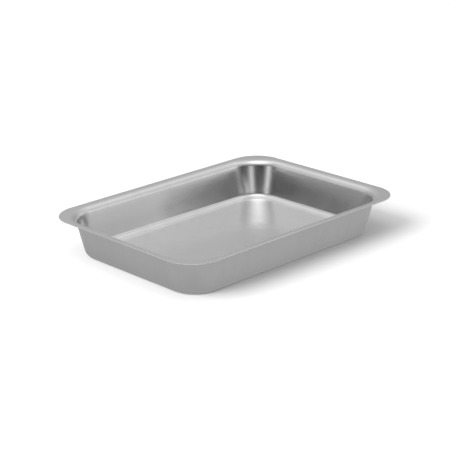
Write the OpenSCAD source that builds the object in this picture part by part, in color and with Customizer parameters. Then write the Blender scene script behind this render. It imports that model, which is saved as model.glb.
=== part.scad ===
// Shallow rectangular counting tray, pressed from one piece of stainless steel sheet.
// Flat floor, four leaning walls with round corners, and a flat rim that turns outwards all the way round.
// X runs along the tray, Y across it and Z up. The origin is the centre of the underside.

/* [Overall size] */
// Length over the rim
tray_length = 250; // [200:1:320]
// Width over the rim
tray_width = 180; // [150:1:240]
// Height from the underside of the floor to the top of the rim
tray_height = 34.6; // [28:0.2:50]
// Thickness of the sheet
sheet = 0.8; // [0.5:0.1:1.2]

/* [Rim] */
// Width of the flat part of the rim, along the sides
rim_flat = 3; // [2:0.5:10]
// Radius of the bend from the rim down into the wall, on its upper skin
rim_bend = 7.2; // [3:0.1:9]
// Radius of the rim's trimmed corners, seen from above
rim_corner = 26.5; // [18:0.5:28]

/* [Walls and floor] */
// Lean of the walls away from upright, in degrees
wall_lean = 13.6; // [8:0.2:18]
// Radius of the bend from the floor up into the wall, on its lower skin
foot_bend = 5.8; // [4:0.1:9]
// Radius of the flat floor's corners, seen from above
floor_corner = 19; // [16:0.5:24]

/* [Hidden] */
$fn = 96;

// The section is drawn outwards from an upright axis through a corner's centre, with its foot on the ground.
// Length of the straight, leaning stretch of the wall
wall_run = (tray_height - rim_bend + (rim_bend - sheet) * sin(wall_lean) - foot_bend * (1 - sin(wall_lean)))
    / cos(wall_lean);
// How far the centre of the rim's bend lies from that axis
rim_start = floor_corner + wall_run * sin(wall_lean) + (foot_bend + rim_bend - sheet) * cos(wall_lean);
// Corner centres seen from above, to the nearest hundredth
corner_x = round(100 * (tray_length / 2 - rim_flat - rim_start)) / 100;
corner_y = round(100 * (tray_width / 2 - rim_flat - rim_start)) / 100;
// Width of the untrimmed rim, which has to pass the trimmed corners
trim_margin = 1;
rim_blank = rim_flat + (sqrt(2) - 1) * (rim_start + rim_flat - rim_corner) + trim_margin;

// A flat ring as wide as the sheet is thick
module ring(outer) {
    difference() {
        circle(outer);
        circle(outer - sheet);
    }
}

// Half of the plane, above the X axis, as far as a bend needs it
module upper_half(reach) {
    translate([-reach, 0])
        square([2 * reach, reach]);
}

// Bend between the floor and the wall, about the origin
module foot_section() {
    intersection() {
        ring(foot_bend);
        rotate(-90) upper_half(2 * foot_bend);
        rotate(180 - wall_lean) upper_half(2 * foot_bend);
    }
}

// Bend between the wall and the rim, about the origin, with the wall upright
module rim_section() {
    intersection() {
        ring(rim_bend);
        upper_half(2 * rim_bend);
        rotate(90 + wall_lean) upper_half(2 * rim_bend);
    }
}

// The bent sheet from the edge of the floor to the edge of the untrimmed rim
module section() {
    translate([floor_corner, foot_bend]) {
        foot_section();
        rotate(-wall_lean) {
            translate([foot_bend - sheet, 0]) square([sheet, wall_run]);
            translate([foot_bend - sheet + rim_bend, wall_run]) {
                rim_section();
                rotate(wall_lean)
                    translate([0, rim_bend - sheet])
                        square([rim_blank, sheet]);
            }
        }
    }
}

// Quarter turns of the section, one at each corner
module corners() {
    for (end = [0, 1], side = [0, 1])
        mirror([end, 0, 0])
            mirror([0, side, 0])
                translate([corner_x, corner_y, 0])
                    rotate_extrude(angle = 90)
                        section();
}

// Straight runs of the section along the two long sides
module long_sides() {
    for (side = [0, 1])
        mirror([0, side, 0])
            translate([-corner_x, corner_y, 0])
                rotate([90, 0, 90])
                    linear_extrude(2 * corner_x)
                        section();
}

// Straight runs of the section along the two short sides
module short_sides() {
    for (end = [0, 1])
        mirror([end, 0, 0])
            translate([corner_x, corner_y, 0])
                rotate([90, 0, 0])
                    linear_extrude(2 * corner_y)
                        section();
}

// A rectangle with round corners about the given centres
module round_rectangle(centre_x, centre_y, radius) {
    square([2 * (centre_x + radius), 2 * centre_y], center = true);
    square([2 * centre_x, 2 * (centre_y + radius)], center = true);
    for (x = [-centre_x, centre_x], y = [-centre_y, centre_y])
        translate([x, y])
            circle(radius);
}

// Flat floor inside the bends
module floor_plate() {
    linear_extrude(sheet)
        round_rectangle(corner_x, corner_y, floor_corner);
}

// Everything inside the trimmed edge of the rim
module trim() {
    translate([0, 0, -trim_margin])
        linear_extrude(tray_height + 2 * trim_margin)
            round_rectangle(tray_length / 2 - rim_corner, tray_width / 2 - rim_corner, rim_corner);
}

module tray() {
    color([0.62, 0.62, 0.62])
        intersection() {
            union() {
                floor_plate();
                corners();
                long_sides();
                short_sides();
            }
            trim();
        }
}

tray();
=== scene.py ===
"""Looks of a pressed stainless steel counting tray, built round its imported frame."""

import math

import bmesh
import bpy
from bpy.props import FloatProperty, FloatVectorProperty, IntProperty, PointerProperty
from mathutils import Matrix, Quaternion, Vector, noise


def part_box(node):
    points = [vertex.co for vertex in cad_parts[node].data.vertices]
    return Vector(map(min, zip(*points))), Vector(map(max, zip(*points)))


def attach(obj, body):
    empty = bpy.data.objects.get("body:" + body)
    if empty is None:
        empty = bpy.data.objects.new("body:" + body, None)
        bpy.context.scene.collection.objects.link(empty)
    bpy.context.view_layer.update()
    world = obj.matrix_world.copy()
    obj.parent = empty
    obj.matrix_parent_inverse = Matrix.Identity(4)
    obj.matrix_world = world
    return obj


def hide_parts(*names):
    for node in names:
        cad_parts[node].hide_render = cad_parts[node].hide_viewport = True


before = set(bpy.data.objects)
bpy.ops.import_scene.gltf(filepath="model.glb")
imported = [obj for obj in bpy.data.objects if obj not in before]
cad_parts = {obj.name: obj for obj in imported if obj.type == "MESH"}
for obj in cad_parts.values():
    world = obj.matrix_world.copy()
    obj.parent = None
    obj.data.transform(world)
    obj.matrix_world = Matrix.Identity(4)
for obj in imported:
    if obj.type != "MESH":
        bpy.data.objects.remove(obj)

bl_info = {
    "name": "Pressed Counting Tray",
    "version": (1, 0, 0),
    "blender": (4, 5, 0),
    "location": "View3D > Sidebar > Tray",
    "description": "Builds a shallow tray pressed from satin stainless steel, and a plain studio round it",
    "category": "Add Mesh",
}

MM = 0.001
# Points closer than this are one point
WELD = 0.01 * MM
# Least bend of an edge that borders the sheet's cut edge
SHARP = math.radians(60)
# Least length of an edge across the flat rim, as a share of the rim's width
SPOKE = 0.9
SLOTS = ("satin_skin", "cut_edge")
VECTOR = "NodeSocketVector"
FLOAT = "NodeSocketFloat"
SENSOR_WIDTH = 36
NOISE_ROUGHNESS = 0.55
TRAY_LOW, TRAY_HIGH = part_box("tray")
TRAY_SIZE = TRAY_HIGH - TRAY_LOW
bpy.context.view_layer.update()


# ---------------------------------------------------------------------------------------------------------
# Settings
# ---------------------------------------------------------------------------------------------------------


def length(name, description, default):
    """A length shown in the scene's units."""
    return FloatProperty(
        name=name, description=description, default=default, min=0, unit="LENGTH", precision=5
    )


def angle(name, description, degrees):
    """An angle, given in degrees and kept in radians."""
    return FloatProperty(name=name, description=description, default=math.radians(degrees), subtype="ANGLE")


def share(name, description, default):
    """A number from 0 to 1."""
    return FloatProperty(name=name, description=description, default=default, min=0, max=1, subtype="FACTOR")


def colour(name, description, default):
    """A plain colour."""
    return FloatVectorProperty(
        name=name, description=description, default=default, min=0, max=1, subtype="COLOR"
    )


class TraySizes(bpy.types.PropertyGroup):
    """Sizes of the pressing, as a press shop would set them"""

    length: length("Length", "Length over the rim", TRAY_SIZE.x)
    width: length("Width", "Width over the rim", TRAY_SIZE.y)
    height: length("Height", "From the ground to the top of the rim", TRAY_SIZE.z)
    sheet: length("Sheet", "Thickness of the sheet", 0.8 * MM)
    rim_flat: length("Rim flat", "Width of the flat rim along the sides", 3 * MM)
    rim_bend: length("Rim bend", "Radius of the bend into the rim, on the upper skin", 7.2 * MM)
    rim_corner: length("Rim corner", "Radius of the rim's trimmed corners", 26.5 * MM)
    wall_lean: angle("Wall lean", "Lean of the walls away from upright", 13.6)
    foot_bend: length("Foot bend", "Radius of the bend into the floor, on the lower skin", 5.8 * MM)
    floor_corner: length("Floor corner", "Radius of the flat floor's corners", 19 * MM)
    edge_round: length("Edge round", "Rounding of the sheet's cut edge", 0.3 * MM)
    crown: length("Crown", "How far the middle of the floor stands up", 0.2 * MM)
    wave: length("Wave", "Height of the sheet's faint unevenness", 0.06 * MM)
    wave_size: length("Wave size", "Size of the sheet's faint unevenness", 45 * MM)


class TrayMeshing(bpy.types.PropertyGroup):
    """How finely the pressing is divided"""

    corner_steps: IntProperty(name="Corner steps", description="Steps round each corner", default=28, min=6)
    bend_steps: IntProperty(name="Bend steps", description="Steps round each bend", default=16, min=4)
    wall_steps: IntProperty(name="Wall steps", description="Steps up the straight wall", default=8, min=1)
    rim_cuts: IntProperty(name="Rim cuts", description="Cuts across the flat rim", default=4, min=1)
    edge_steps: IntProperty(name="Edge steps", description="Steps round the cut edge", default=3, min=1)
    grid: length("Grid", "Step along the straight sides and the floor", 4 * MM)


class SteelFinish(bpy.types.PropertyGroup):
    """Finish of the stainless steel"""

    steel: colour("Steel", "Colour of the clean steel", (0.86, 0.86, 0.86))
    dull_steel: colour("Dull steel", "Colour where the steel is hazed or scratched", (0.76, 0.76, 0.755))
    roughness: share("Roughness", "Roughness of the satin skin", 0.20)
    bend_roughness: share("Bend roughness", "Roughness that stretching adds to the bends", 0.11)
    grain_width: length("Grain width", "Width of the rolled grain's lines", 0.5 * MM)
    grain_length: length("Grain length", "Length of the rolled grain's lines", 20 * MM)
    grain_depth: length("Grain depth", "Depth of the rolled grain", 0.004 * MM)
    grain_contrast: share("Grain contrast", "Change of roughness along the grain", 0.12)
    cloud_size: length("Cloud size", "Size of the haze's clouds", 60 * MM)
    haze_contrast: share("Haze contrast", "Change of roughness in the haze", 0.05)
    streak_width: length("Streak width", "Width of the streaks that drawing leaves up the walls", 3 * MM)
    streak_depth: length("Streak depth", "Depth of the streaks up the walls", 0.008 * MM)
    streak_contrast: share("Streak contrast", "Change of roughness across the streaks", 0.05)
    hairline_width: length("Hairline width", "Width of the hairline scratches", 0.35 * MM)
    hairline_depth: length("Hairline depth", "Depth of the hairline scratches", 0.003 * MM)
    edge_steel: colour("Cut edge", "Colour of the bright cut edge", (0.93, 0.93, 0.93))
    edge_roughness: share("Edge roughness", "Roughness of the cut edge", 0.4)
    shear_width: length("Shear width", "Width of the shear lines across the cut edge", 0.25 * MM)
    shear_length: length("Shear length", "Length of the shear lines", 2 * MM)
    shear_depth: length("Shear depth", "Depth of the shear lines", 0.01 * MM)


class Studio(bpy.types.PropertyGroup):
    """Floor, light and camera round the tray"""

    floor: colour("Floor", "Colour of the floor", (0.9, 0.9, 0.9))
    floor_in_steel: share("Floor in the steel", "Brightness of the floor as the steel reflects it", 0.42)
    # Painted shade in the floor's glow that the steel reflects: how deep it is, where it starts near the foot
    # and how far out it reaches
    shade: share("Shade", "How much darker the steel sees the floor right beside the tray", 0.12)
    shade_inset: length("Shade inset", "From the rim's edge in to the tray's foot", 17 * MM)
    shade_reach: length("Shade reach", "How far the shade reaches out over the floor", 22 * MM)
    floor_size: length("Floor size", "Side of the square floor", 8)
    backdrop: share("Backdrop", "Brightness of the backdrop behind the floor", 1)
    key_azimuth: angle("Key azimuth", "Where the key light stands round the tray, from the X axis", 173)
    key_elevation: angle("Key elevation", "How far the key light stands above the horizon", 36)
    key_distance: length("Key distance", "From the key light to the tray", 6)
    key_size: length("Key size", "Width of the round key light", 4.5)
    key_power: FloatProperty(
        name="Key power", description="Power of the key light", default=400, min=0, unit="POWER"
    )
    azimuth: angle("Azimuth", "Where the camera stands round the tray, from the -Y axis", -43.63)
    elevation: angle("Elevation", "How far the camera stands above the horizon", 19.81)
    roll: angle("Roll", "Turn of the camera about its own axis", -0.85)
    distance: length("Distance", "From the camera to what it looks at", 1.264)
    look_at_x: length("Look at X", "Point on the floor that the camera looks at", 0.0284)
    look_at_y: length("Look at Y", "Point on the floor that the camera looks at", 0.0331)
    lens: FloatProperty(name="Lens", description="Focal length, in millimetres", default=113.5, min=10)


def panel(name, description, azimuth, elevation, half_width, half_height, brightness):
    """A soft panel of light round the tray. Its angles are in degrees, the azimuth from the X axis."""
    default = (azimuth, elevation, half_width, half_height, brightness)
    return FloatVectorProperty(name=name, description=description, size=5, default=default)


class SoftPanels(bpy.types.PropertyGroup):
    """Soft panels: azimuth, elevation, half width, half height and brightness of each"""

    overhead: panel("Overhead", "Broad panel above the camera", 215, 65, 28, 24, 2.05)
    back_wall: panel("Back wall", "Wide fill behind the tray", 65, 25, 75, 42, 0.47)
    back_left: panel("Back left", "Low panel at the back left", 136, 24, 15, 16, 0.5)
    left: panel("Left", "Low panel at the left", 179, 8, 10, 11, 0.85)
    back_right: panel("Back right", "Low panel at the back right", 346, 15, 23, 18, 0.55)
    right: panel("Right", "Low panel at the right", 308, 16, 15, 17, 0.9)
    front_right: panel("Front right", "Low panel at the front right", 243, 5, 9, 10, 0.93)
    top_right: panel("Top right", "High panel at the back right", 337, 54, 33, 18, 0.78)
    top_left: panel("Top left", "High panel at the back left", 103, 54, 20, 26, 0.64)


# ---------------------------------------------------------------------------------------------------------
# Mesh tools
# ---------------------------------------------------------------------------------------------------------


def steps_over(distance, step):
    """Whole number of steps of about the given size."""
    return max(1, round(distance / step))


def only(kind, geometry):
    """The vertices or edges among what an operator made."""
    return [g for g in geometry if isinstance(g, kind)]


def pull_vert(bm, vert, move, steps):
    """Draws a straight row of edges from vert along move, and gives its last vertex."""
    for _ in range(steps):
        vert = bmesh.ops.extrude_vert_indiv(bm, verts=[vert])["verts"][0]
        bmesh.ops.translate(bm, verts=[vert], vec=move / steps)
    return vert


def bend_vert(bm, vert, centre, turn, steps):
    """Draws an arc of edges from vert, turning about the Y direction, and gives its last vertex."""
    made = bmesh.ops.spin(bm, geom=[vert], cent=centre, axis=(0, 1, 0), angle=turn, steps=steps)
    return only(bmesh.types.BMVert, made["geom_last"])[0]


def pull_edges(bm, edges, move, steps):
    """Extrudes a chain of edges along move in equal steps."""
    for _ in range(steps):
        made = bmesh.ops.extrude_edge_only(bm, edges=edges)["geom"]
        edges = only(bmesh.types.BMEdge, made)
        bmesh.ops.translate(bm, verts=only(bmesh.types.BMVert, made), vec=move / steps)


def make_object(context, bm, name, *materials):
    """Turns the mesh being built into an object of the scene."""
    mesh = bpy.data.meshes.new(name)
    bm.to_mesh(mesh)
    bm.free()
    for material in materials:
        mesh.materials.append(material)
    made = bpy.data.objects.new(name, mesh)
    context.scene.collection.objects.link(made)
    return made


# ---------------------------------------------------------------------------------------------------------
# The pressing
# ---------------------------------------------------------------------------------------------------------


class Pressing:
    """The sheet's upper skin, from the floor to the trimmed rim, worked out from the tray's sizes."""

    def __init__(self, sizes, meshing):
        self.sizes, self.meshing = sizes, meshing
        self.out_of_wall = Vector((math.cos(sizes.wall_lean), 0, -math.sin(sizes.wall_lean)))
        self.up_wall = Vector((math.sin(sizes.wall_lean), 0, math.cos(sizes.wall_lean)))
        self.foot_bend = sizes.foot_bend - sizes.sheet
        self.floor_z = TRAY_LOW.z + sizes.sheet
        self.rim_z = TRAY_LOW.z + sizes.height
        bends = self.foot_bend + sizes.rim_bend
        rise = self.rim_z - self.floor_z - bends + bends * math.sin(sizes.wall_lean)
        self.wall_run = rise / self.up_wall.z
        self.rim_start = sizes.floor_corner + bends * self.out_of_wall.x + self.wall_run * self.up_wall.x
        inset = sizes.rim_flat + self.rim_start
        self.corner = Vector((sizes.length / 2 - inset, sizes.width / 2 - inset, 0))

    def draw_section(self, bm):
        """Draws the section outwards from a corner's centre to the start of the flat rim."""
        sizes, meshing = self.sizes, self.meshing
        vert = bm.verts.new(self.corner + Vector((0, 0, self.floor_z)))
        floor = Vector((sizes.floor_corner, 0, 0))
        vert = pull_vert(bm, vert, floor, steps_over(sizes.floor_corner, meshing.grid))
        turn = math.pi / 2 - sizes.wall_lean
        centre = vert.co + Vector((0, 0, self.foot_bend))
        vert = bend_vert(bm, vert, centre, -turn, meshing.bend_steps)
        vert = pull_vert(bm, vert, self.up_wall * self.wall_run, meshing.wall_steps)
        centre = vert.co + self.out_of_wall * sizes.rim_bend
        bend_vert(bm, vert, centre, turn, meshing.bend_steps)

    def sweep_quarter(self, bm):
        """Carries the section round one corner and out to the tray's two middle planes."""
        grid = self.meshing.grid
        section = list(bm.edges)
        turned = bmesh.ops.spin(
            bm,
            geom=list(bm.verts) + section,
            cent=self.corner,
            axis=(0, 0, 1),
            angle=math.pi / 2,
            steps=self.meshing.corner_steps,
        )
        along, across = Vector((-self.corner.x, 0, 0)), Vector((0, -self.corner.y, 0))
        pull_edges(bm, section, across, steps_over(self.corner.y, grid))
        pull_edges(bm, only(bmesh.types.BMEdge, turned["geom_last"]), along, steps_over(self.corner.x, grid))
        bmesh.ops.remove_doubles(bm, verts=bm.verts, dist=WELD)
        middle = [e for e in bm.edges if e.is_boundary and self.edges_the_middle(e)]
        pull_edges(bm, middle, across, steps_over(self.corner.y, grid))
        bmesh.ops.remove_doubles(bm, verts=bm.verts, dist=WELD)

    def edges_the_middle(self, edge):
        """Whether an edge runs along the floor's middle rectangle, on its long side."""
        corner = self.corner
        return all(abs(v.co.y - corner.y) < WELD and v.co.x < corner.x + WELD for v in edge.verts)

    def reach(self, direction):
        """How far the trimmed rim lies from the corner's centre, in a level direction."""
        sizes, corner = self.sizes, self.corner
        gaps = []
        if direction.x > 0:
            gaps.append((sizes.length / 2 - corner.x) / direction.x)
        if direction.y > 0:
            gaps.append((sizes.width / 2 - corner.y) / direction.y)
        straight = min(gaps)
        inset = sizes.rim_corner
        trim = Vector((sizes.length / 2 - inset, sizes.width / 2 - inset, 0)) - corner
        hit = direction * straight
        if hit.x < trim.x or hit.y < trim.y:
            return straight
        along = direction.dot(trim)
        return along + math.sqrt(inset**2 - trim.length_squared + along**2)

    def lay_rim(self, bm):
        """Carries the flat rim from the end of the bend to its trimmed edge."""
        end = [e for e in bm.edges if e.is_boundary and all(v.co.z > self.rim_z - WELD for v in e.verts)]
        made = bmesh.ops.extrude_edge_only(bm, edges=end)["geom"]
        verts = only(bmesh.types.BMVert, made)
        for vert in verts:
            foot = Vector((min(vert.co.x, self.corner.x), min(vert.co.y, self.corner.y), self.rim_z))
            out = (vert.co - foot).normalized()
            from_corner = vert.co - self.corner
            if min(from_corner.x, from_corner.y) > WELD:
                vert.co = foot + out * self.reach(out)
            else:
                vert.co = foot + out * (self.rim_start + self.sizes.rim_flat)
        spokes = [edge for vert in verts for edge in vert.link_edges if self.is_spoke(edge)]
        bmesh.ops.subdivide_edges(bm, edges=list(dict.fromkeys(spokes)), cuts=self.meshing.rim_cuts)

    def is_spoke(self, edge):
        """Whether an edge crosses the flat rim: it is on the rim, and about as long as the rim is wide."""
        on_rim = all(vert.co.z > self.rim_z - WELD for vert in edge.verts)
        return on_rim and edge.calc_length() > SPOKE * self.sizes.rim_flat

    def shape_unevenness(self, bm):
        """Crowns the floor a little and lifts the skin in a faint wave, so nothing dips below the ground."""
        sizes = self.sizes
        bm.normal_update()
        moves = []
        half = self.corner + Vector((sizes.floor_corner, sizes.floor_corner, 0))
        for vert in bm.verts:
            lift = 0.5 + 0.5 * noise.noise(vert.co / sizes.wave_size)
            move = vert.normal * sizes.wave * lift
            across = 1 - min(1, abs(vert.co.x / half.x)) ** 2
            along = 1 - min(1, abs(vert.co.y / half.y)) ** 2
            if vert.co.z < self.floor_z + WELD:
                move.z += sizes.crown * across * along
            moves.append(move)
        for vert, move in zip(bm.verts, moves):
            vert.co += move

    def thicken(self, bm):
        """Gives the skin the sheet's thickness, and marks and rounds its cut edge."""
        bmesh.ops.solidify(bm, geom=list(bm.faces), thickness=self.sizes.sheet)
        bm.normal_update()
        for face in bm.faces:
            high = face.calc_center_median().z > self.rim_z - self.sizes.sheet
            upright = abs(face.normal.z) < math.cos(SHARP)
            face.material_index = SLOTS.index("cut_edge" if high and upright else "satin_skin")
        sharp = [edge for edge in bm.edges if edge.calc_face_angle(0) > SHARP]
        bmesh.ops.bevel(
            bm,
            geom=sharp,
            offset=self.sizes.edge_round,
            offset_type="OFFSET",
            affect="EDGES",
            segments=self.meshing.edge_steps,
            profile=0.5,
            material=-1,
        )


class TRAY_OT_pressing(bpy.types.Operator):
    """Press the tray from one sheet: floor, walls and rim"""

    bl_idname = "tray.pressing"
    bl_label = "Pressed tray"

    def execute(self, context):
        press = Pressing(context.scene.tray_sizes, context.scene.tray_meshing)
        bm = bmesh.new()
        press.draw_section(bm)
        press.sweep_quarter(bm)
        press.lay_rim(bm)
        for axis in "XY":
            quarter = list(bm.verts) + list(bm.edges) + list(bm.faces)
            bmesh.ops.mirror(bm, geom=quarter, axis=axis, merge_dist=WELD)
        bmesh.ops.remove_doubles(bm, verts=bm.verts, dist=WELD)
        bmesh.ops.recalc_face_normals(bm, faces=bm.faces)
        middle = min(bm.faces, key=lambda face: face.calc_center_median().length)
        if middle.normal.z < 0:
            bmesh.ops.reverse_faces(bm, faces=bm.faces)
        press.shape_unevenness(bm)
        press.thicken(bm)
        for face in bm.faces:
            face.smooth = True
        finish = context.scene.steel_finish
        piece = make_object(context, bm, "pressed_tray", satin_skin(finish), cut_edge(finish))
        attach(piece, "root")
        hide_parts("tray")
        return {"FINISHED"}


# ---------------------------------------------------------------------------------------------------------
# Node tools
# ---------------------------------------------------------------------------------------------------------


class Tree:
    """A node tree, with short ways to place its nodes and wire them up."""

    def __init__(self, tree):
        self.tree = tree

    def join(self, node, key, value):
        """Links a socket to one of a node's inputs, or sets the input to a plain value."""
        if isinstance(value, bpy.types.NodeSocket):
            self.tree.links.new(value, node.inputs[key])
        else:
            node.inputs[key].default_value = value

    def node(self, kind, inputs=None, **settings):
        """Places a node with its settings and inputs."""
        node = self.tree.nodes.new(kind)
        for name, value in settings.items():
            setattr(node, name, value)
        for key, value in (inputs or {}).items():
            self.join(node, key, value)
        return node

    def math(self, operation, *values):
        """One step of arithmetic."""
        return self.node("ShaderNodeMath", dict(enumerate(values)), operation=operation).outputs[0]

    def total(self, *values):
        """Sum of several values."""
        result = values[0]
        for value in values[1:]:
            result = self.math("ADD", result, value)
        return result

    def mixture(self, first, second, amount):
        """Adds two values, the second in the share given and the first in the rest."""
        return self.total(self.math("MULTIPLY", first, 1 - amount), self.math("MULTIPLY", second, amount))

    def swing(self, value, amount):
        """A value from 0 to 1, turned into a swing of the given amount about zero."""
        return self.math("MULTIPLY", self.math("SUBTRACT", value, 0.5), amount)

    def ramp(self, value, start, end, low=0.0, high=1.0):
        """Eases from low to high while the value goes from start to end."""
        inputs = {"Value": value, "From Min": start, "From Max": end, "To Min": low, "To Max": high}
        return self.node("ShaderNodeMapRange", inputs, interpolation_type="SMOOTHSTEP").outputs["Result"]

    def blend(self, amount, first, second):
        """Goes from the first colour to the second."""
        node = self.node("ShaderNodeMix", {0: amount, 6: first, 7: second}, data_type="RGBA")
        return node.outputs[2]

    def combine(self, x, y, z):
        """Makes a vector of three values."""
        return self.node("ShaderNodeCombineXYZ", {"X": x, "Y": y, "Z": z}).outputs[0]

    def separate(self, vector):
        """The three values of a vector."""
        return self.node("ShaderNodeSeparateXYZ", {0: vector}).outputs

    def stretch(self, vector, scale):
        """Scales a vector's three values, each by its own amount."""
        return self.node("ShaderNodeVectorMath", {0: vector, 1: scale}, operation="MULTIPLY").outputs[0]

    def turn(self, vector, degrees):
        """Turns a vector about the Z axis."""
        return self.node(
            "ShaderNodeMapping", {"Vector": vector, "Rotation": (0, 0, math.radians(degrees))}
        ).outputs[0]

    def dot(self, first, second):
        """How far one vector reaches along another."""
        return self.node(
            "ShaderNodeVectorMath", {0: first, 1: second}, operation="DOT_PRODUCT"
        ).outputs["Value"]

    def noise(self, vector, scale, detail=2.0):
        """Smooth noise about 0.5."""
        inputs = {"Vector": vector, "Scale": scale, "Detail": detail, "Roughness": NOISE_ROUGHNESS}
        return self.node("ShaderNodeTexNoise", inputs).outputs[0]

    def bump(self, *layers):
        """A normal from several layers, each a height from 0 to 1 and its depth in metres."""
        normal = None
        for height, depth in layers:
            inputs = {"Height": height, "Distance": depth, "Strength": 1.0}
            if normal:
                inputs["Normal"] = normal
            normal = self.node("ShaderNodeBump", inputs).outputs[0]
        return normal

    def place(self, group, **inputs):
        """Places a node group and gives its only output. Inputs are named with underscores for spaces."""
        named = {name.replace("_", " ").capitalize(): value for name, value in inputs.items()}
        node = self.node("ShaderNodeGroup", node_tree=group)
        for key, value in named.items():
            self.join(node, key, value)
        return node.outputs[0]


def shared(make):
    """Builds a node group the first time that it is asked for, and gives the same one after that."""

    def get():
        return bpy.data.node_groups.get(make.__name__) or make(make.__name__)

    return get


def new_group(name, output, **inputs):
    """Starts a node group, and gives its tree, its inner inputs and a function that closes it."""
    group = bpy.data.node_groups.new(name, "ShaderNodeTree")
    for label, kind in inputs.items():
        group.interface.new_socket(label.replace("_", " ").capitalize(), in_out="INPUT", socket_type=kind)
    group.interface.new_socket(output, in_out="OUTPUT", socket_type=FLOAT)
    tree = Tree(group)

    def close(result):
        tree.node("NodeGroupOutput", {0: result})
        return group

    return tree, tree.node("NodeGroupInput").outputs, close


def new_material(name):
    """Starts a material, and gives it with its tree and its shader."""
    material = bpy.data.materials.new(name)
    material.use_nodes = True
    return material, Tree(material.node_tree), material.node_tree.nodes["Principled BSDF"]


# ---------------------------------------------------------------------------------------------------------
# Effects that the finishes share
# ---------------------------------------------------------------------------------------------------------


# The grit between the grain's lines: how much finer it is, and its part in the grain
GRIT_FINENESS = 1.7
GRIT_SHARE = 0.25
# The small clouds in the haze: how much finer they are, and their part in it
SMALL_CLOUD_FINENESS = 6.0
SMALL_CLOUD_SHARE = 0.3
# Noise at which the haze starts and is full
HAZE_RANGE = (0.35, 0.65)


@shared
def rolled_grain(name):
    """Short fine lines along X, as rolls leave them on sheet, with a finer grit between them."""
    tree, given, close = new_group(name, "Grain", vector=VECTOR, line_width=FLOAT, line_length=FLOAT)
    lines_per_metre = tree.math("DIVIDE", 1.0, given["Line width"])
    along = tree.math("DIVIDE", given["Line width"], given["Line length"])
    lines = tree.noise(tree.stretch(given["Vector"], tree.combine(along, 1.0, 1.0)), lines_per_metre, 3.0)
    grit = tree.noise(given["Vector"], tree.math("MULTIPLY", lines_per_metre, GRIT_FINENESS), 1.0)
    return close(tree.mixture(lines, grit, GRIT_SHARE))


@shared
def haze(name):
    """Large faint clouds over small ones, as handling and wiping leave on bare steel."""
    tree, given, close = new_group(name, "Haze", vector=VECTOR, cloud_size=FLOAT)
    large = tree.noise(given["Vector"], tree.math("DIVIDE", 1.0, given["Cloud size"]), 3.0)
    small_per_metre = tree.math("DIVIDE", SMALL_CLOUD_FINENESS, given["Cloud size"])
    small = tree.noise(given["Vector"], small_per_metre, 2.0)
    return close(tree.ramp(tree.mixture(large, small, SMALL_CLOUD_SHARE), *HAZE_RANGE))


# ---------------------------------------------------------------------------------------------------------
# The steel's finishes
# ---------------------------------------------------------------------------------------------------------


# How much a streak changes going up the wall, beside going across it
STREAK_DRIFT = 0.06
# How far a wall has to face along X to count as a short one
SHORT_WALL = (0.55, 0.85)
# Direction of each set of hairlines in degrees, and their length in widths
HAIRLINES = ((14, 90), (-38, 60), (71, 75))
# Noise at which a hairline starts and is full
HAIRLINE_RANGE = (0.66, 0.74)
# How level the skin is where the walls end, and where the bends begin and end
WALL_END = (0.25, 0.6)
BEND_START = (0.25, 0.45)
BEND_END = (0.97, 0.999)
# How much each effect dulls the steel
DULL_BY = {
    "haze": 0.35,
    "grain": 0.8,
    "streaks": 0.8,
    "hairlines": 0.4,
    "haze on the edge": 0.3,
    "shear": 1.0,
}


def draw_streaks(tree, place, facing, width):
    """Streaks straight up the walls, which change with X on the long walls and with Y on the short ones."""
    where = tree.separate(place)
    low = tree.math("MULTIPLY", where["Z"], STREAK_DRIFT)
    per_metre = 1 / width
    along_x = tree.noise(tree.combine(where["X"], 0.0, low), per_metre, 3.0)
    along_y = tree.noise(tree.combine(0.0, where["Y"], low), per_metre, 3.0)
    short = tree.ramp(tree.math("ABSOLUTE", facing["X"]), *SHORT_WALL)
    long_walls = tree.math("MULTIPLY", along_x, tree.math("SUBTRACT", 1.0, short))
    return tree.total(long_walls, tree.math("MULTIPLY", along_y, short))


def hairlines(tree, place, width):
    """Sparse hairline scratches in three directions."""
    result = 0.0
    for degrees, length_in_widths in HAIRLINES:
        across = tree.stretch(tree.turn(place, degrees), (1 / length_in_widths, 1, 1))
        lines = tree.ramp(tree.noise(across, 1 / width, 1.0), *HAIRLINE_RANGE)
        result = tree.math("MAXIMUM", result, lines)
    return result


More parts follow.
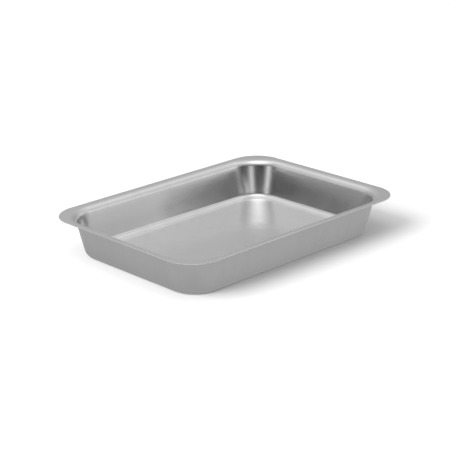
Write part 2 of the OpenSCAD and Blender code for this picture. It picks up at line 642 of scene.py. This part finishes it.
def satin_skin(finish):
    """Bare stainless sheet with a satin skin, rougher where its bends stretched and streaked up its walls."""
    material, tree, shader = new_material("satin_skin")
    coords = tree.node("ShaderNodeTexCoord").outputs
    place = coords["Object"]
    facing = tree.separate(coords["Normal"])
    level = tree.math("ABSOLUTE", facing["Z"])
    walls = tree.ramp(level, *WALL_END, 1.0, 0.0)
    bends = tree.math("MULTIPLY", tree.ramp(level, *BEND_START), tree.ramp(level, *BEND_END, 1.0, 0.0))

    grain = tree.place(
        rolled_grain(),
        vector=place,
        line_width=finish.grain_width,
        line_length=finish.grain_length,
    )
    clouds = tree.place(haze(), vector=place, cloud_size=finish.cloud_size)
    streaks = draw_streaks(tree, place, facing, finish.streak_width)
    wall_streaks = tree.total(0.5, tree.math("MULTIPLY", tree.swing(streaks, 1.0), walls))
    scratches = hairlines(tree, place, finish.hairline_width)

    dullness = tree.total(
        tree.math("MULTIPLY", clouds, DULL_BY["haze"]),
        tree.swing(grain, DULL_BY["grain"]),
        tree.swing(wall_streaks, DULL_BY["streaks"]),
        tree.math("MULTIPLY", scratches, DULL_BY["hairlines"]),
    )
    steel = tree.blend(tree.ramp(dullness, 0.0, 1.0), (*finish.steel, 1), (*finish.dull_steel, 1))
    roughness = tree.total(
        finish.roughness,
        tree.swing(grain, finish.grain_contrast),
        tree.swing(clouds, finish.haze_contrast),
        tree.swing(wall_streaks, finish.streak_contrast),
        tree.math("MULTIPLY", scratches, finish.grain_contrast / 2),
        tree.math("MULTIPLY", bends, finish.bend_roughness),
    )
    sunk = tree.math("SUBTRACT", 1.0, scratches)
    normal = tree.bump(
        (grain, finish.grain_depth), (wall_streaks, finish.streak_depth), (sunk, finish.hairline_depth)
    )
    shader.inputs["Metallic"].default_value = 1
    tree.join(shader, "Base Color", steel)
    tree.join(shader, "Roughness", roughness)
    tree.join(shader, "Normal", normal)
    return material


def cut_edge(finish):
    """Trimmed edge of the rim: bright fresh steel with fine shear lines straight across the sheet."""
    material, tree, shader = new_material("cut_edge")
    place = tree.node("ShaderNodeTexCoord").outputs["Object"]
    where = tree.separate(place)
    upended = tree.combine(where["Z"], where["X"], where["Y"])
    shear = tree.place(
        rolled_grain(), vector=upended, line_width=finish.shear_width, line_length=finish.shear_length
    )
    clouds = tree.place(haze(), vector=place, cloud_size=finish.cloud_size)
    dulled = tree.total(
        tree.math("MULTIPLY", clouds, DULL_BY["haze on the edge"]), tree.swing(shear, DULL_BY["shear"])
    )
    dullness = tree.ramp(dulled, 0.0, 1.0)
    roughness = tree.total(
        finish.edge_roughness,
        tree.swing(shear, 2 * finish.grain_contrast),
        tree.swing(clouds, finish.haze_contrast),
    )
    shader.inputs["Metallic"].default_value = 1
    tree.join(shader, "Base Color", tree.blend(dullness, (*finish.edge_steel, 1), (*finish.steel, 1)))
    tree.join(shader, "Roughness", roughness)
    tree.join(shader, "Normal", tree.bump((shear, finish.shear_depth)))
    return material


# ---------------------------------------------------------------------------------------------------------
# The studio
# ---------------------------------------------------------------------------------------------------------


def white_paper(studio):
    """Matt white paper to the camera. The steel sees it as a plain grey glow, with painted shade that darkens
    the glow beside the tray's foot.
    """
    material, tree, shader = new_material("white_paper")
    shader.inputs["Base Color"].default_value = (*studio.floor, 1)
    shader.inputs["Roughness"].default_value = 1
    shader.inputs["Specular IOR Level"].default_value = 0
    # Painted shade: the grey glow that the steel sees is darkened close to the tray's foot, standing in for
    # the shade there
    where = tree.separate(tree.node("ShaderNodeTexCoord").outputs["Object"])
    gaps = []
    for axis, rim in (("X", TRAY_HIGH.x), ("Y", TRAY_HIGH.y)):
        past_foot = tree.math("SUBTRACT", tree.math("ABSOLUTE", where[axis]), rim - studio.shade_inset)
        gaps.append(tree.math("POWER", tree.math("MAXIMUM", past_foot, 0.0), 2.0))
    gap = tree.math("SQRT", tree.total(*gaps))
    painted_shade = tree.ramp(gap, 0.0, studio.shade_reach, 1 - studio.shade, 1.0)
    glow_in_steel = tree.node("ShaderNodeEmission", {"Strength": tree.math("MULTIPLY", painted_shade, studio.floor_in_steel)})
    seen = tree.node("ShaderNodeLightPath").outputs["Is Camera Ray"]
    mixed = tree.node("ShaderNodeMixShader", {0: seen, 1: glow_in_steel.outputs[0], 2: shader.outputs[0]})
    tree.join(material.node_tree.nodes["Material Output"], "Surface", mixed.outputs[0])
    return material


def lay_floor(context, studio):
    """A wide plain floor that the tray stands on."""
    bm = bmesh.new()
    bmesh.ops.create_grid(bm, x_segments=1, y_segments=1, size=studio.floor_size / 2)
    bmesh.ops.translate(bm, verts=bm.verts, vec=(0, 0, TRAY_LOW.z))
    make_object(context, bm, "studio_floor", white_paper(studio))


def bearing(azimuth, elevation):
    """The direction of an azimuth, from the X axis, and an elevation."""
    level = math.cos(elevation)
    return Vector((math.cos(azimuth) * level, math.sin(azimuth) * level, math.sin(elevation)))


def set_camera(context, studio):
    """Stands the camera round the tray and turns it to the point that it looks at."""
    back = bearing(studio.azimuth - math.pi / 2, studio.elevation)
    data = bpy.data.cameras.new("camera")
    data.lens = studio.lens
    data.sensor_width = SENSOR_WIDTH
    camera = bpy.data.objects.new("camera", data)
    camera.location = Vector((studio.look_at_x, studio.look_at_y, TRAY_LOW.z)) + back * studio.distance
    camera.rotation_mode = "QUATERNION"
    camera.rotation_quaternion = (-back).to_track_quat("-Z", "Y") @ Quaternion((0, 0, 1), studio.roll)
    context.scene.collection.objects.link(camera)
    context.scene.camera = camera


def set_key_light(context, studio):
    """A large round lamp that lights the paper and throws the tray's soft shadow, unseen in the steel."""
    data = bpy.data.lights.new("key_light", "AREA")
    data.shape = "DISK"
    data.size = studio.key_size
    data.energy = studio.key_power
    lamp = bpy.data.objects.new("key_light", data)
    towards = bearing(studio.key_azimuth, studio.key_elevation)
    lamp.location = towards * studio.key_distance
    lamp.rotation_mode = "QUATERNION"
    lamp.rotation_quaternion = towards.to_track_quat("Z", "Y")
    lamp.visible_glossy = False
    lamp.visible_camera = False
    context.scene.collection.objects.link(lamp)


@shared
def soft_panel(name):
    """Glow of one panel, seen in a direction: full in the middle and fading to the sides."""
    tree, given, close = new_group(
        name,
        "Glow",
        direction=VECTOR,
        facing=VECTOR,
        sideways=VECTOR,
        upwards=VECTOR,
        half_width=FLOAT,
        half_height=FLOAT,
    )
    across = tree.math("DIVIDE", tree.dot(given["Direction"], given["Sideways"]), given["Half width"])
    up = tree.math("DIVIDE", tree.dot(given["Direction"], given["Upwards"]), given["Half height"])
    away = tree.total(tree.math("MULTIPLY", across, across), tree.math("MULTIPLY", up, up))
    glow = tree.math("EXPONENT", tree.math("MULTIPLY", away, -1.0))
    front = tree.math("GREATER_THAN", tree.dot(given["Direction"], given["Facing"]), 0.0)
    return close(tree.math("MULTIPLY", glow, front))


def hang_panels(context, studio, panels):
    """Soft panels round the tray, with a plain backdrop where the camera looks past the floor."""
    world = bpy.data.worlds.new("studio_light")
    world.use_nodes = True
    tree = Tree(world.node_tree)
    direction = tree.node("ShaderNodeTexCoord").outputs["Generated"]
    glow = []
    for name in SoftPanels.__annotations__:
        azimuth, elevation, half_width, half_height, brightness = getattr(panels, name)
        facing = bearing(math.radians(azimuth), math.radians(elevation))
        sideways = bearing(math.radians(azimuth + 90), 0)
        light = tree.place(
            soft_panel(),
            direction=direction,
            facing=facing,
            sideways=sideways,
            upwards=facing.cross(sideways),
            half_width=math.sin(math.radians(half_width)),
            half_height=math.sin(math.radians(half_height)),
        )
        glow.append(tree.math("MULTIPLY", light, brightness))
    background = world.node_tree.nodes["Background"]
    background.inputs["Color"].default_value = (1, 1, 1, 1)
    seen = tree.node("ShaderNodeLightPath").outputs["Is Camera Ray"]
    lit = tree.math("MULTIPLY", tree.total(*glow), tree.math("SUBTRACT", 1.0, seen))
    tree.join(background, "Strength", tree.total(lit, tree.math("MULTIPLY", seen, studio.backdrop)))
    context.scene.world = world
    context.scene.view_settings.view_transform = "Standard"


class TRAY_OT_studio(bpy.types.Operator):
    """Set up the camera, the floor and the light"""

    bl_idname = "tray.studio"
    bl_label = "Studio"

    def execute(self, context):
        studio = context.scene.tray_studio
        set_camera(context, studio)
        lay_floor(context, studio)
        set_key_light(context, studio)
        hang_panels(context, studio, context.scene.soft_panels)
        return {"FINISHED"}


# ---------------------------------------------------------------------------------------------------------
# Panel and registration
# ---------------------------------------------------------------------------------------------------------


class TRAY_PT_sidebar(bpy.types.Panel):
    """Steps that build the tray, and their settings"""

    bl_idname = "TRAY_PT_sidebar"
    bl_label = "Pressed counting tray"
    bl_space_type = "VIEW_3D"
    bl_region_type = "UI"
    bl_category = "Tray"

    def draw(self, context):
        for step in STEPS:
            self.layout.operator(step.bl_idname)
        for group in SETTINGS:
            box = self.layout.box()
            for name in SETTINGS[group].__annotations__:
                box.prop(getattr(context.scene, group), name)


SETTINGS = {
    "tray_sizes": TraySizes,
    "tray_meshing": TrayMeshing,
    "steel_finish": SteelFinish,
    "tray_studio": Studio,
    "soft_panels": SoftPanels,
}
STEPS = (TRAY_OT_studio, TRAY_OT_pressing)
CLASSES = (*SETTINGS.values(), *STEPS, TRAY_PT_sidebar)


def register():
    for cls in CLASSES:
        bpy.utils.register_class(cls)
    for name, group in SETTINGS.items():
        setattr(bpy.types.Scene, name, PointerProperty(type=group))


def unregister():
    for name in SETTINGS:
        delattr(bpy.types.Scene, name)
    for cls in reversed(CLASSES):
        bpy.utils.unregister_class(cls)


def main():
    """Registers the add-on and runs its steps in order."""
    register()
    bpy.ops.tray.studio()
    bpy.ops.tray.pressing()


if __name__ == "__main__":
    main()
